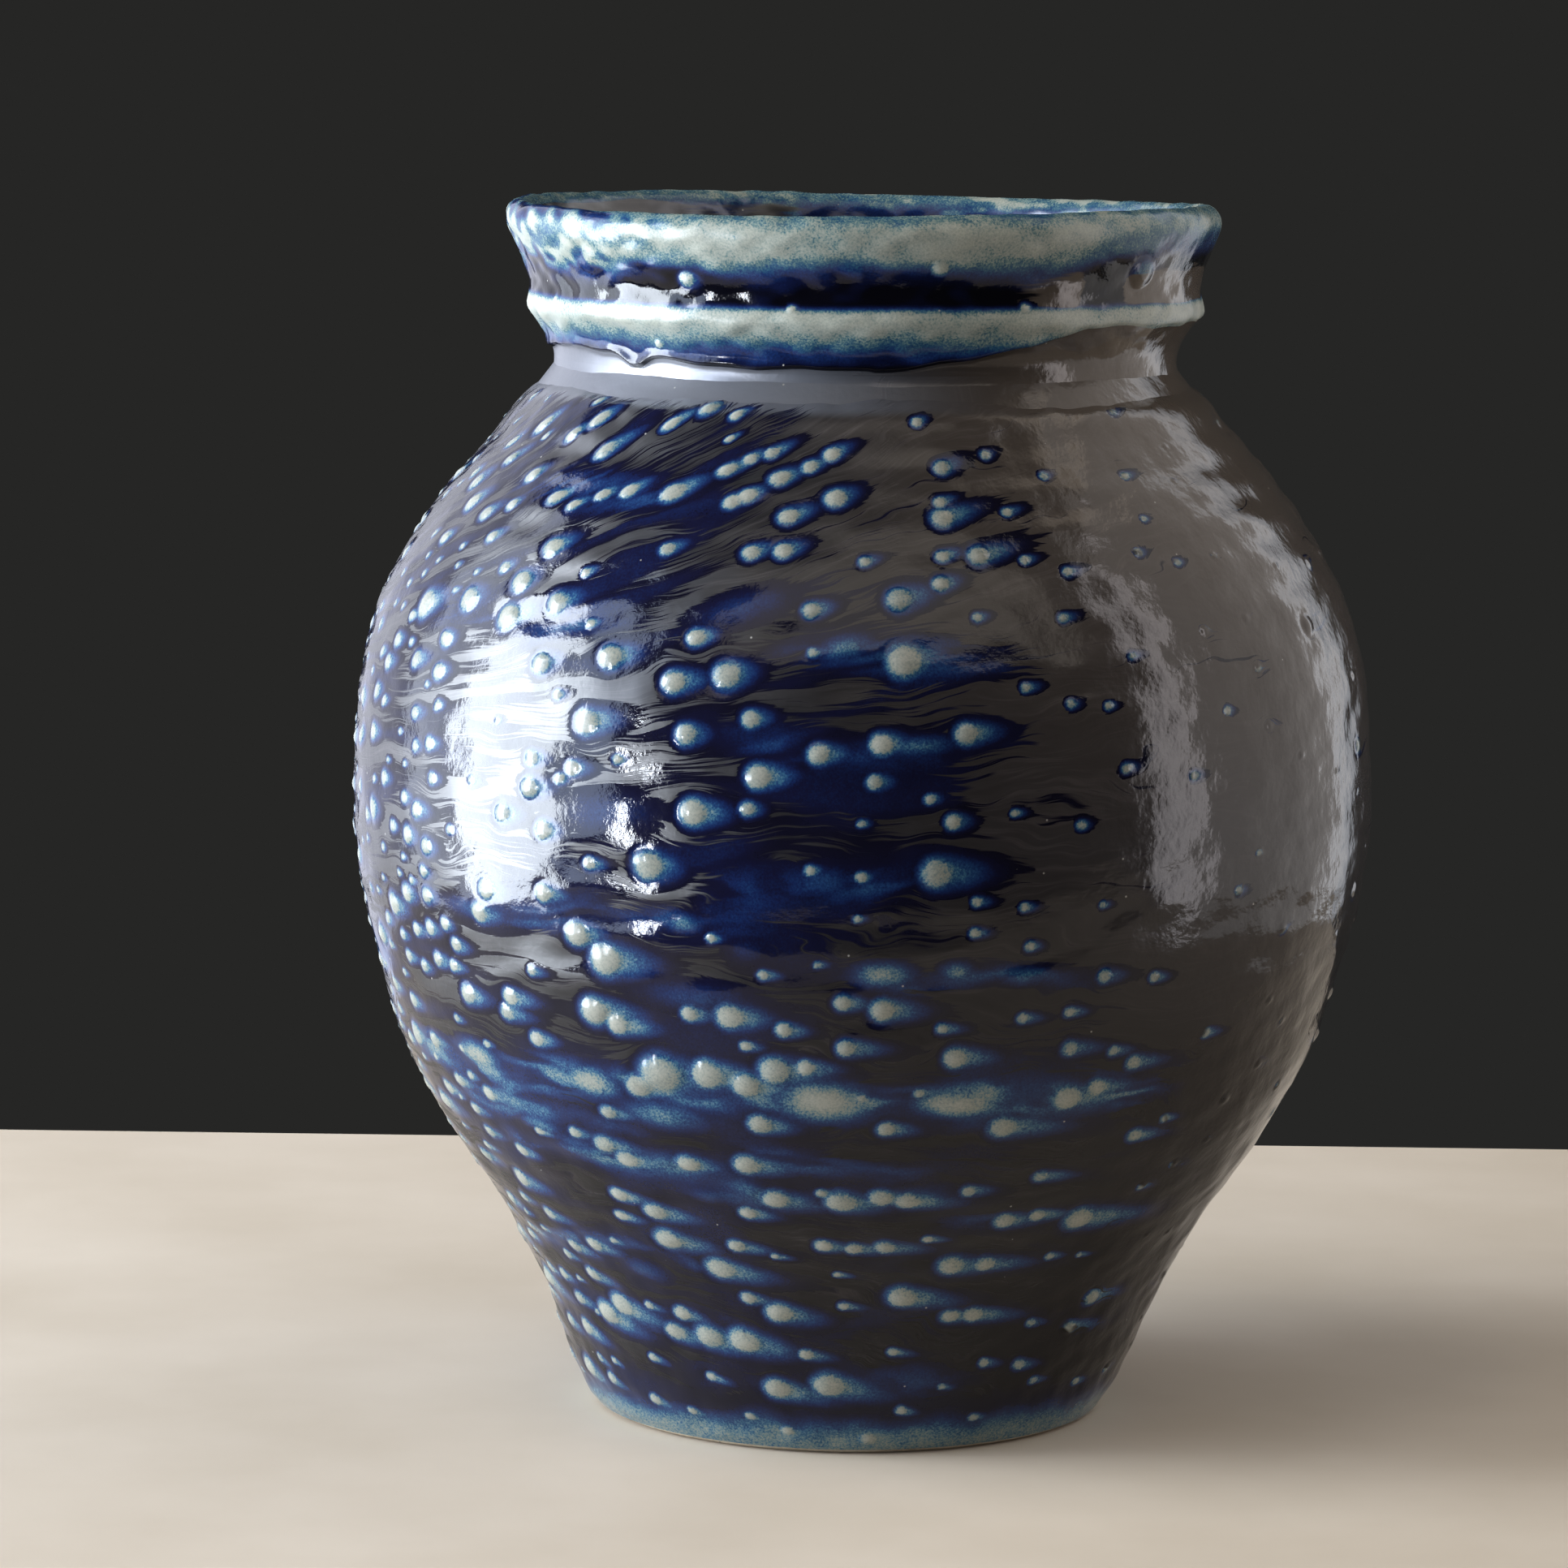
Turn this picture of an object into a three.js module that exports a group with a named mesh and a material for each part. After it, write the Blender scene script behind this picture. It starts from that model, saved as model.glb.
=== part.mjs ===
// A wheel-thrown stoneware vase with a rolled rim: one fired clay wall and the three coats of glass that
// are fused on it, each coat its own thin shell. Millimetres, +Z up, origin at the centre of the foot, on
// the surface that the vase stands on.
import * as THREE from 'three';

// Driving dimensions.
const HEIGHT = 220; // table to the crest of the rolled rim
const FOOT_R = 45.2; // outer edge of the flat ring that touches the table
const BELLY_R = 92.5;
const NECK_R = 56.2;
const RIM_R = 64.4; // fullest part of the rolled rim
const THROAT_R = 49.4; // narrowest part of the inside
const FLOOR_Z = 10.5; // top of the glazed floor
const RECESS_R = 33; // turned hollow inside the foot ring
const RECESS_SLOPE = 1.5;
const RECESS_DEPTH = 3;
const BODY_COAT = 1.0; // thickness of each coat of glass
const COLLAR_COAT = 1.6;
const LINER_COAT = 0.8;
const GAP = 0.3; // clearance between the coats and the clay, so that each is a closed solid

const SEGMENTS = 40; // facets round the axis
const OUTSIDE_STEPS = 2; // rings for each span between two points of the outline
const INSIDE_STEPS = 1;
const SEAM = 0.05; // half the clearance between two neighbouring coats, as a share of a span

// The visible outline as [radius, height]: up the outside, over the rim and down the inside.
const OUTSIDE = [
  [FOOT_R + 1.3, 0.9],
  [50.4, 7.6],
  [58.2, 26.2],
  [69.5, 45],
  [80.5, 62.9],
  [87.2, 80.4], // the soft keel, where the flank turns into the belly
  [91.4, 99],
  [BELLY_R, 113],
  [91.2, 133],
  [86.3, 150.7],
  [75.8, 168.2],
  [65.7, 179.9],
  [61.2, 185.4], // crease between the shoulder and the neck
  [57.3, 188.4],
];
const COLLAR = [
  [NECK_R, 191.8],
  [57.6, 196.2],
  [60.4, 200],
  [61, 201.6], // thrown bead
  [60.5, 204.6], // groove under the roll
  [61.7, 209.7],
  [63.8, 214.4],
  [RIM_R, 217],
  [RIM_R - 0.9, 219.2],
  [RIM_R - 2.7, HEIGHT],
  [RIM_R - 4.6, 219],
  [RIM_R - 5.7, 216.4],
];
const INSIDE = [
  [RIM_R - 7.4, 210.5],
  [53, 201.5],
  [THROAT_R, 193],
  [51, 186.5],
  [57.8, 178.2],
  [68.6, 166.5],
  [78.2, 151.5],
  [83.6, 134],
  [85.6, 113],
  [83.6, 94],
  [78.6, 76],
  [70.6, 59],
  [59.2, 41],
  [49.4, 25.5],
  [38.5, 14.2],
  [22, FLOOR_Z],
  [0, FLOOR_Z],
];
const NECK = OUTSIDE.length; // the outline's points where the collar's coat starts and ends
const LIP = OUTSIDE.length + COLLAR.length;

const outline = new THREE.CatmullRomCurve3(
  [...OUTSIDE, ...COLLAR, ...INSIDE].map(([r, z]) => new THREE.Vector3(r, z, 0)),
  false,
  'centripetal',
);
const FLOOR = outline.points.length - 1;

// The outline between two of its points, moved into the wall by a depth measured square to the surface.
function sunk(from, to, steps, depth) {
  const count = Math.round((to - from) * steps);
  return Array.from({ length: count + 1 }, (_, i) => {
    const at = (from + ((to - from) * i) / count) / FLOOR;
    const point = outline.getPoint(at);
    const along = outline.getTangent(at);
    return new THREE.Vector2(point.x - along.y * depth, point.y + along.x * depth);
  });
}

// A profile turned about the vase's axis and stood up on +Z.
function turned(name, profile, finish) {
  const geometry = new THREE.LatheGeometry(profile, SEGMENTS).rotateX(Math.PI / 2);
  const mesh = new THREE.Mesh(geometry, new THREE.MeshStandardMaterial(finish));
  mesh.name = name;
  return mesh;
}

// A coat of glass between two points of the outline, as a ring closed on itself.
function coat(name, from, to, steps, thickness, finish) {
  const face = sunk(from, to, steps, 0);
  const back = sunk(from, to, steps, thickness).reverse();
  return turned(name, [...face, ...back, face[0]], finish);
}

// The clay wall lies under all three coats, and stands on a bare turned foot ring.
function clayBody() {
  const foot = [
    [0, RECESS_DEPTH],
    [RECESS_R - RECESS_SLOPE, RECESS_DEPTH],
    [RECESS_R, 0],
    [FOOT_R, 0],
  ].map(([r, z]) => new THREE.Vector2(r, z));
  const wall = [
    ...sunk(0, NECK, OUTSIDE_STEPS, BODY_COAT + GAP),
    ...sunk(NECK, LIP, INSIDE_STEPS, COLLAR_COAT + GAP),
    ...sunk(LIP, FLOOR, INSIDE_STEPS, LINER_COAT + GAP),
  ];
  return turned('clay_body', [...foot, ...wall], { color: 0xb4a48c, roughness: 0.85 });
}

// The cobalt coat from just above the foot to the neck.
function bodyGlaze() {
  const finish = { color: 0x1b2340, roughness: 0.15 };
  return coat('body_glaze', 0, NECK - SEAM, OUTSIDE_STEPS, BODY_COAT, finish);
}

// The thicker, paler coat that runs over the rim and pools in the groove and above the neck.
function collarGlaze() {
  const finish = { color: 0x84948f, roughness: 0.2 };
  return coat('collar_glaze', NECK + SEAM, LIP - SEAM, INSIDE_STEPS, COLLAR_COAT, finish);
}

// The inside coat, from the lip to the middle of the floor: its profile starts and ends on the axis.
function linerGlaze() {
  const back = sunk(LIP + SEAM, FLOOR, INSIDE_STEPS, LINER_COAT).reverse();
  const face = sunk(LIP + SEAM, FLOOR, INSIDE_STEPS, 0);
  return turned('liner_glaze', [...back, ...face], { color: 0x3b342e, roughness: 0.3 });
}

const vase = new THREE.Group();
vase.add(clayBody(), bodyGlaze(), collarGlaze(), linerGlaze());

export default vase;
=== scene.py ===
"""A wheel-thrown stoneware vase with a runny cobalt salt glaze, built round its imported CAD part.

The CAD part gives the frame, the height and the thickness of each coat. The visible surfaces are worked
out here with numpy as surfaces of revolution with relief: thrown rings, flow ripples and raised drops.
Lengths in this file are millimetres until a mesh is written, which is in metres. Azimuth is the angle
round the axis, 0 towards the viewer (-Y) and growing to the viewer's right (+X).
"""
import math

import bpy
import numpy as np
from mathutils import Matrix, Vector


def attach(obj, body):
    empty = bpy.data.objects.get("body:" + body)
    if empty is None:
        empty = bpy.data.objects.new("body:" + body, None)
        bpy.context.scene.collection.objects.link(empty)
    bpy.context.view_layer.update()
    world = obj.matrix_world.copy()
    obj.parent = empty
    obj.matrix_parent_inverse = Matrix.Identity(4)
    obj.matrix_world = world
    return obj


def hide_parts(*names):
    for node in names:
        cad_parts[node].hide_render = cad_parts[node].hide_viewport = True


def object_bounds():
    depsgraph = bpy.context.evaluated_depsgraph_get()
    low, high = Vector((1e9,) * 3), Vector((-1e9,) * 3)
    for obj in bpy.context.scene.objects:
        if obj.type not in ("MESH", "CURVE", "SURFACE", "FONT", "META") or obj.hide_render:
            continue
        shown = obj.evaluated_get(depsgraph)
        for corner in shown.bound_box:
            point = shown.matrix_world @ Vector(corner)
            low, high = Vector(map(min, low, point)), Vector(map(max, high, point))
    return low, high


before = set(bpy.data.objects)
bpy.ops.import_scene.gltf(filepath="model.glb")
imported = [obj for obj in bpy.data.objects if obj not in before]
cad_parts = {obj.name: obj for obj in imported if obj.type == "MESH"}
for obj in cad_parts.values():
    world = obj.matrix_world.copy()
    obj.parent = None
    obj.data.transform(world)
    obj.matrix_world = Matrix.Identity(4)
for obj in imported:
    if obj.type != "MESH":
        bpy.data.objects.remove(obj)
cad_box = [list(corner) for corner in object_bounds()]

MM = 0.001
HEIGHT = cad_box[1][2] / MM
TURN = 2 * math.pi

# ------------ outline of the wall

# Radius and height of points on the outside, foot to neck; over the collar; and down the inside.
OUTSIDE = [(46.5, 0.9), (50.4, 7.6), (58.2, 26.2), (69.5, 45), (80.5, 62.9), (87.2, 80.4), (91.4, 99),
           (92.5, 113), (91.2, 133), (86.3, 150.7), (75.8, 168.2), (65.7, 179.9), (61.2, 185.4),
           (57.3, 188.4)]
COLLAR = [(56.2, 191.8), (57.6, 196.2), (60.4, 200), (61, 201.6), (60.5, 204.6), (61.7, 209.7),
          (63.8, 214.4), (64.4, 217), (63.5, 219.2), (61.7, HEIGHT), (59.8, 219), (58.7, 216.4)]
INSIDE = [(57, 210.5), (53, 201.5), (49.4, 193), (51, 186.5), (57.8, 178.2), (68.6, 166.5), (78.2, 151.5),
          (83.6, 134), (85.6, 113), (83.6, 94), (78.6, 76), (70.6, 59), (59.2, 41), (49.4, 25.5),
          (38.5, 14.2), (22, 10.5), (0, 10.5)]


def smooth_outline(points):
    """Natural cubic spline through the points, over the running square root of their spacing. Returns the
    arc length, radius, height and outward normal on a dense even grid, and each point's arc length."""
    p = np.array(points, float)
    t = np.append(0, np.cumsum(np.sqrt(np.hypot(*np.diff(p, axis=0).T))))
    gap, inner = np.diff(t), np.arange(1, len(p) - 1)
    system, right = np.eye(len(p)), np.zeros_like(p)
    system[inner, inner - 1], system[inner, inner + 1] = gap[:-1], gap[1:]
    system[inner, inner] = 2 * (gap[:-1] + gap[1:])
    rise = np.diff(p, axis=0) / gap[:, None]
    right[inner] = 6 * np.diff(rise, axis=0)
    bend = np.linalg.solve(system, right)
    u = np.linspace(0, t[-1], 20001)
    k = np.clip(np.searchsorted(t, u, side="right") - 1, 0, len(gap) - 1)
    before, after, g = (u - t[k])[:, None], (t[k + 1] - u)[:, None], gap[k][:, None]
    line = (bend[k] * after**3 + bend[k + 1] * before**3) / (6 * g)
    line += (p[k] / g - bend[k] * g / 6) * after + (p[k + 1] / g - bend[k + 1] * g / 6) * before
    arc = np.append(0, np.cumsum(np.hypot(*np.diff(line, axis=0).T)))
    along = np.gradient(line, arc, axis=0)
    along /= np.hypot(*along.T)[:, None]
    return np.column_stack([arc, line, along[:, 1], -along[:, 0]]), np.interp(t, u, arc)


WALL, KNOTS = smooth_outline(OUTSIDE + COLLAR + INSIDE)
# Arc lengths at the start of the collar, its crest, the start of the inside, and the middle of the floor.
NECK_ARC = KNOTS[len(OUTSIDE)]
CREST_ARC = KNOTS[(OUTSIDE + COLLAR).index((61.7, HEIGHT))]
LIP_ARC = KNOTS[len(OUTSIDE) + len(COLLAR)]
FLOOR_ARC = KNOTS[-1]


def wall_at(arc):
    """Radius, height and the normal's two parts at arc lengths along the outline."""
    return [np.interp(arc, WALL[:, 0], WALL[:, column]) for column in (1, 2, 3, 4)]


def arc_of_height(height):
    """Arc length at which the outside reaches a height."""
    outside = WALL[:, 0] <= CREST_ARC
    return np.interp(height, WALL[outside, 2], WALL[outside, 0])


# ------------ fields on the wall


def swells(arc, azimuth, length, seed, count=36, stretch=1.0):
    """A smooth random field of about unit spread: a sum of cosine waves with random directions, near the
    given length in mm, longer round the pot by the stretch, with a whole number of each round the pot."""
    rng = np.random.default_rng(seed)
    mean_radius = 80
    round_pot = np.round(rng.normal(0, TURN * mean_radius / (length * stretch), count))
    up_wall = rng.normal(0, TURN / length, count)
    phase = rng.uniform(0, TURN, count)
    total = np.zeros(np.broadcast(arc, azimuth).shape)
    for m, n, shift in zip(round_pot, up_wall, phase):
        total += np.cos(m * azimuth + n * arc + shift)
    return total * math.sqrt(2 / count)


def ease(low, high, value):
    """0 below low, 1 above high, and a smooth cubic step between them."""
    t = np.clip((value - low) / (high - low), 0, 1)
    return t * t * (3 - 2 * t)


def unwrap(angle):
    """An angle brought to between -half a turn and half a turn."""
    return (angle + math.pi) % TURN - math.pi


# The salt and ash blew in from the left, along this azimuth, so the melt parts at the height of the
# stagnation point and runs round both sides of the pot.
WINDWARD = math.radians(-105)
STAGNATION_ARC = arc_of_height(112)
MEAN_RADIUS = 88
LEAST_SPREAD = 0.36


def streamline(arc, azimuth):
    """The line of flow that a point lies on: its distance up the wall from the stagnation point, divided by
    a spread raised to a power that grows up the pot. The spread's square runs from its least value squared
    on the windward side to 1 on the lee, with the squared sine of half the angle between."""
    up = arc - STAGNATION_ARC
    least = LEAST_SPREAD**2
    spread = np.sqrt(least + (1 - least) * np.sin((azimuth - WINDWARD) / 2) ** 2)
    return up / spread ** (0.3 + 1.3 * ease(-20, 45, up))


def level_line(arc, azimuth):
    """Flow straight round the pot, for the collar and the inside: the arc length itself."""
    return arc + 0 * azimuth


def flow_slope(flow, arc, azimuth, radius):
    """Rise over run of the line of flow through a point, from small differences."""
    step = 0.01
    across = flow(arc, azimuth + step) - flow(arc, azimuth - step)
    upward = flow(arc + 1, azimuth) - flow(arc - 1, azimuth)
    return float(-(across / (2 * step * radius)) / (upward / 2))


class Skin:
    """The fields of one coat of glass on a grid of arc length (rows) by azimuth (columns), in mm: its
    relief along the normal, how pale it is, how much of it is clear glass, and its flow coordinates."""

    def __init__(self, arc, columns, flow):
        self.flow = flow
        self.arc = arc[:, None]
        self.azimuth = (np.arange(columns) / columns * TURN)[None, :]
        self.radius, self.height = [part[:, None] for part in wall_at(arc)[:2]]
        self.shape = (len(arc), columns)
        self.lift = np.zeros(self.shape)
        self.tone = np.zeros(self.shape)
        self.clear = np.zeros(self.shape)
        self.side = np.sin(unwrap(self.azimuth - WINDWARD)) + np.zeros(self.shape)
        self.along = np.abs(unwrap(self.azimuth - WINDWARD)) * MEAN_RADIUS + np.zeros(self.shape)
        self.stream = flow(self.arc, self.azimuth)
        self.parted = np.zeros(self.shape)
        # The next field marks where a painted reflection of the window lies on the neck: a silver-grey sheen
        # painted into the skin's colour.
        self.painted_sheen = np.zeros(self.shape)
        crowding = np.gradient(self.stream, self.arc[:, 0], axis=0)
        self.hairy = np.clip(1.7 / np.maximum(np.abs(crowding), 0.1), 0, 1)

    def window(self, arc, azimuth, reach):
        """The block of the grid within reach of a point, and its offsets from it in mm round and up."""
        radius = np.interp(arc, WALL[:, 0], WALL[:, 1])
        turned = unwrap(self.azimuth[0] - azimuth) * radius
        rows = np.flatnonzero(np.abs(self.arc[:, 0] - arc) <= reach)
        columns = np.flatnonzero(np.abs(turned) <= reach)
        around = turned[None, columns] * np.maximum(self.radius[rows], 1) / radius
        return np.ix_(rows, columns), around, self.arc[rows] - arc, radius

    def drop(self, arc, azimuth, length, width, height, pale, tail):
        """A drop of melt: a dome with a blunt windward side and a drawn-out lee, a clear moat, and a tail
        of glass that fades along the flow. Streamlines part round it as round a cylinder."""
        block, around, upward, radius = self.window(arc, azimuth, max(3.2 * length, 2 + tail * length))
        if not around.size or not upward.size:
            return
        slope = math.atan(flow_slope(self.flow, arc, azimuth, radius))
        if math.sin(azimuth - WINDWARD) < 0:
            around, slope = -around, -slope
        lee = around * math.cos(slope) + upward * math.sin(slope)
        across = upward * math.cos(slope) - around * math.sin(slope)
        half, half_width = length / 2, width / 2
        drawn = np.where(lee > 0, half * 1.15, half * 0.9)
        ring = np.hypot(lee / drawn, across / half_width)
        far = np.hypot(lee, across) / math.sqrt(half * half_width)
        self.lift[block] += height * np.clip(1 - ring**2 / 1.2, 0, 1) ** 1.25
        hollow = np.exp(-(((ring - 1.35) / 0.25) ** 2))
        self.lift[block] -= 0.2 * height * hollow * ease(0.8, -0.6, lee / half)
        body = pale * (1 - 0.3 * ring**2) * ease(1.2, 0.8, ring)
        wake = np.hypot(np.where(lee > 0, lee / (half * (1 + 0.75 * tail)), lee / (half * 1.1)),
                        across / (half_width * (1.25 - 0.06 * np.clip(lee / half, 0, 4))))
        halo = pale * np.maximum(0.48 * ease(1.8, 0.95, ring), 0.66 * ease(1.7, 0.1, wake))
        self.tone[block] = np.maximum(self.tone[block], np.maximum(body, halo))
        moat = ease(1.95, 1.4, ring)
        longer = np.where(lee > 0, lee / (half * (1 + tail)), lee / (half * 0.7))
        trail = 0.75 * ease(1.9, 1.1, wake) + 0.6 * ease(2.8, 0.9, np.hypot(longer, across / half_width))
        calm = 1 - 0.7 * ease(0.35, 1.05, azimuth) * ease(3.1, 2.4, azimuth)
        self.clear[block] = np.maximum(self.clear[block], calm * np.maximum(moat, np.minimum(trail, 1)))
        push = np.where(far > 1.3, 1.7 / np.maximum(far, 1.3) ** 2, 1)
        push = push * ease(3.2 * length, 1.5 * length, np.abs(lee))
        here = self.flow(arc, azimuth)
        self.parted[block] -= 0.85 * (self.stream[block] - here) * push * ease(9, 3, far)

    def puddle(self, arc, azimuth, length, width, pale):
        """A long soft mass of pale melt with no dome: its paleness falls off with distance squared."""
        block, around, upward, radius = self.window(arc, azimuth, 2 * length)
        slope = flow_slope(self.flow, arc, azimuth, radius)
        ring = np.hypot(around / (length / 2), (upward - slope * around) / (width / 2))
        self.tone[block] = np.maximum(self.tone[block], pale * np.exp(-0.75 * ring**2))
        self.clear[block] = np.maximum(self.clear[block], ease(2.2, 1.2, ring))
        self.lift[block] += 0.25 * np.exp(-(ring**2))


def relief_of_throwing(skin):
    """A shallow spiral of finger marks: a cosine of arc length less one pitch for each turn round the pot,
    swelling and fading slowly, plus two random fields for the hand-made unevenness."""
    pitch, depth = 8.2, 0.10
    spiral = np.cos(TURN * (skin.arc / pitch + skin.azimuth / TURN))
    uneven = 0.6 + 0.4 * swells(skin.arc, skin.azimuth, 70, 11, 14)
    broad = 0.16 * swells(skin.arc, skin.azimuth, 42, 12, 30, 1.6)
    fine = 0.06 * swells(skin.arc, skin.azimuth, 12, 13, 40, 1.8)
    return depth * spiral * uneven + broad + fine


# ------------ where the drops lie

# Azimuth in degrees, height and length in mm of each raised drop on the windward side.
DROPS_SHOULDER = [
    (-50, 186, 3), (-47, 183, 5), (-32, 183, 4), (-26, 186, 5), (-21, 185, 3), (-21, 181, 2), (-51, 180, 4),
    (-42, 178, 5), (-17, 178, 3), (-14, 179, 3), (-20, 176, 4), (-5, 179, 3), (-8, 177, 3), (-12, 175, 4),
    (-54, 173, 4), (-16, 172, 3.5), (-18, 171, 3.5), (-4, 172, 4), (-27, 172, 5), (-38, 171, 3.5),
    (-42, 169, 3), (-46, 170, 4), (-54, 168, 3), (-59, 166, 3.5), (-10, 169, 3.8), (-42, 162, 4.2),
    (-25, 163, 3), (-14, 163, 3.3), (-10, 163.5, 3.5), (-49, 158, 2.5), (-45, 156, 4.5), (-53, 152, 4.8),
    (-62, 150, 5.5), (-38, 153, 4.5), (-45, 150, 5), (-6, 154, 3.2), (-55, 145, 3.3), (-19, 149, 3.3),
    (-63, 175, 4), (-61, 181, 5), (-66, 161, 3), (-34, 172, 4), (11, 177, 3), (8, 184, 2), (10, 169, 4),
    (10, 171.5, 2.2), (18, 179, 2), (19, 170, 2), (14, 163, 3.8), (9.5, 163, 2.5), (9, 158.5, 3),
    (4, 156, 4.6), (25, 160, 2), (0, 162, 2.2), (31, 146, 1.5),
]
DROPS_BELLY = [
    (-38, 143, 4), (-29, 145, 4.5), (-21, 141.5, 4.2), (-15, 143, 5), (-67, 143, 3), (-31, 134, 4.7),
    (-19, 133, 4), (-12, 136, 3.3), (-4.6, 130.5, 3.8), (-38, 127, 3), (-34, 124, 2.2), (-32.5, 126, 3),
    (-38, 122, 4), (-11, 126.5, 4.4), (-18, 120, 4.8), (-12, 121, 2.8), (-55, 127, 2.8), (-58, 126, 2.5),
    (-54, 121, 2.5), (-57, 115, 3.2), (-42, 117, 3.5), (-36, 115, 3.6), (-30, 110, 2.5), (-23, 110.5, 5.5),
    (-66, 119, 3), (-63, 111, 2.5), (4.4, 146, 6), (2, 132.3, 4), (11, 134, 4), (1.3, 126, 2.8),
    (9.5, 119.4, 2.8), (7.8, 110.7, 5.4), (0, 110, 2), (29, 127.5, 2), (-44.5, 103.5, 4), (-46, 99, 3.8),
    (-36, 104, 3.5), (-32, 97.5, 4.5), (-28.7, 93.5, 5.8), (-14.4, 85, 4.5), (-19, 85, 2.8), (-31, 84, 4.8),
    (-28, 82, 3.8), (-43, 84.5, 3.2), (-44, 81.5, 3), (-50.6, 83.5, 3.6), (-8.3, 83, 2.6), (-1.8, 88, 2.8),
    (-1.4, 80, 3), (-60, 93, 2.5), (-53, 95.5, 2.5), (-51.5, 92, 2.8), (-56, 88.5, 2.8), (-56, 100, 3.2),
    (2.5, 86.7, 4), (11, 78, 3.7), (24.5, 79, 2.8), (30.3, 78, 2), (33.5, 75.5, 2.8), (27.6, 91.7, 2.5),
]
DROPS_FLANK = [
    (-40, 77.5, 2.8), (-23.5, 73.5, 7), (-26.5, 71, 4.5), (-17.7, 74, 5.2), (-13, 72.5, 4.5), (-9.6, 75.5, 5),
    (-6, 76.3, 2.8), (-11.7, 65.5, 4), (-31.5, 65.5, 3), (-38, 60.5, 2.5), (-33.8, 59, 4), (-31, 56.5, 4),
    (-22, 57, 4), (-14, 57.5, 4.5), (-51, 54.5, 3), (-57.5, 56.5, 3), (-34.8, 49, 3.3), (-29.5, 46.5, 4.2),
    (-36, 44.7, 2.5), (-56, 48, 4), (-10.8, 51, 4.5), (-15, 47.8, 3), (-2, 51, 5), (-4.5, 52.5, 2),
    (-29, 41, 5), (-53, 42, 3), (-45, 37.5, 3.5), (-51, 36, 3.2), (-21.5, 36, 5), (-17.8, 41, 3),
    (-4.5, 42, 3), (0, 41.5, 3), (-50, 30.5, 3.3), (-17.5, 30.5, 2.8), (-12.5, 28, 4.5), (-45, 25.5, 5),
    (-50, 23, 5), (-31, 26, 3.2), (-33.5, 22, 4), (-26.5, 22, 5.2), (-19.5, 22, 5.5), (-8, 20, 2.5),
    (-58, 24.5, 3), (-14, 13, 4.5), (-4, 14, 5.5), (-20, 7, 2), (-43, 7.5, 2.5), (-12.5, 4.5, 2.3),
    (4.5, 3.3, 3), (25.3, 70, 5), (29, 71.5, 3.5), (3.5, 65, 3), (17.8, 65, 4.8), (37, 61.5, 3),
    (24.8, 55, 2.8), (15, 53, 2.6), (3.3, 52, 4), (6.9, 51.5, 4), (21.5, 46.5, 3.6), (26.5, 47, 3),
    (34, 45.5, 5.5), (4.5, 42, 3.5), (15, 38, 4.5), (20.5, 38, 3.7), (8, 31.7, 4.8), (17, 27.5, 3.3),
    (21, 27.5, 3.7), (46, 28, 3.5), (43, 22.5, 3.2), (33.5, 16.5, 2.5), (52, 65.5, 2.3), (52, 58, 1.5),
    (43.5, 79.5, 2), (57, 71, 2),
]
# Azimuth, height, length, width and paleness of the long soft masses along the thrown rings.
PUDDLES = [
    (-4, 70, 14, 6.5, 1.0), (12, 69.5, 13, 4.5, 0.95), (-33, 71, 10, 5, 0.85), (-52, 72, 10, 5, 0.8),
    (2.5, 93, 9, 4, 0.7), (10.5, 93.5, 5, 3, 0.6), (18, 92.5, 8, 3, 0.45), (-19, 101, 6, 3, 0.5),
    (-12, 97, 6, 4, 0.2), (-4, 109, 12, 5, 0.32), (-44, 61, 9, 3, 0.5), (-22, 57, 10, 3, 0.5),
    (-38, 57, 10, 3, 0.45), (8, 52, 12, 4, 0.42), (-24, 66, 14, 5, 0.55), (-2, 148, 8, 4, 0.5),
    (6, 132, 10, 3, 0.5), (-20, 51, 7, 3, 0.35), (25, 70, 8, 4, 0.6), (-36, 34, 8, 4, 0.35),
    (-18, 88, 18, 5, 0.28), (-28, 119, 16, 6, 0.25), (-14, 154, 14, 5, 0.25), (-44, 100, 14, 6, 0.25),
]

# Height, width, first and last azimuth and paleness of the grooves that hold a pool of blue glass.
RING_BANDS = [
    (70.5, 8, -68, 42, 0.50), (92.8, 5, 0, 26, 0.36), (100.5, 5, -52, -14, 0.30), (57, 5, -54, 6, 0.36),
    (63, 4, -60, -30, 0.30), (51.5, 4, -20, 12, 0.26), (45.5, 3, 14, 40, 0.28), (37, 4, -62, -20, 0.26),
    (24, 6, -62, -14, 0.24), (109, 7, -16, 6, 0.22), (131, 5, -14, 14, 0.22), (147, 6, -6, 16, 0.30),
    (150, 6, -60, -28, 0.22), (172, 5, -56, -22, 0.26), (14, 4, -30, 20, 0.18),
    (86, 6, -160, -70, 0.28), (62, 6, -175, -72, 0.34), (128, 6, -165, -90, 0.26), (40, 5, -170, -75, 0.26),
]


def drop_shape(azimuth, height, length, rng):
    """One drop's arc length, azimuth in radians, length, width, height and paleness and length of tail."""
    narrow = 0.9 - 0.38 * ease(155, 182, height) * ease(0, -30, azimuth) - 0.12 * ease(80, 60, height)
    lee = ease(-10, 40, azimuth)
    low = ease(108, 80, height)
    length *= 1 + 0.12 * low
    tail = rng.uniform(1.2, 2.6) + 2.2 * lee * (length > 3) + 1.2 * low
    rise = 0.095 * length * rng.uniform(0.85, 1.15)
    pale = rng.uniform(0.86, 1.0) - 0.1 * lee
    return (arc_of_height(height), math.radians(azimuth), length, length * narrow, rise, pale, tail)


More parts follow.
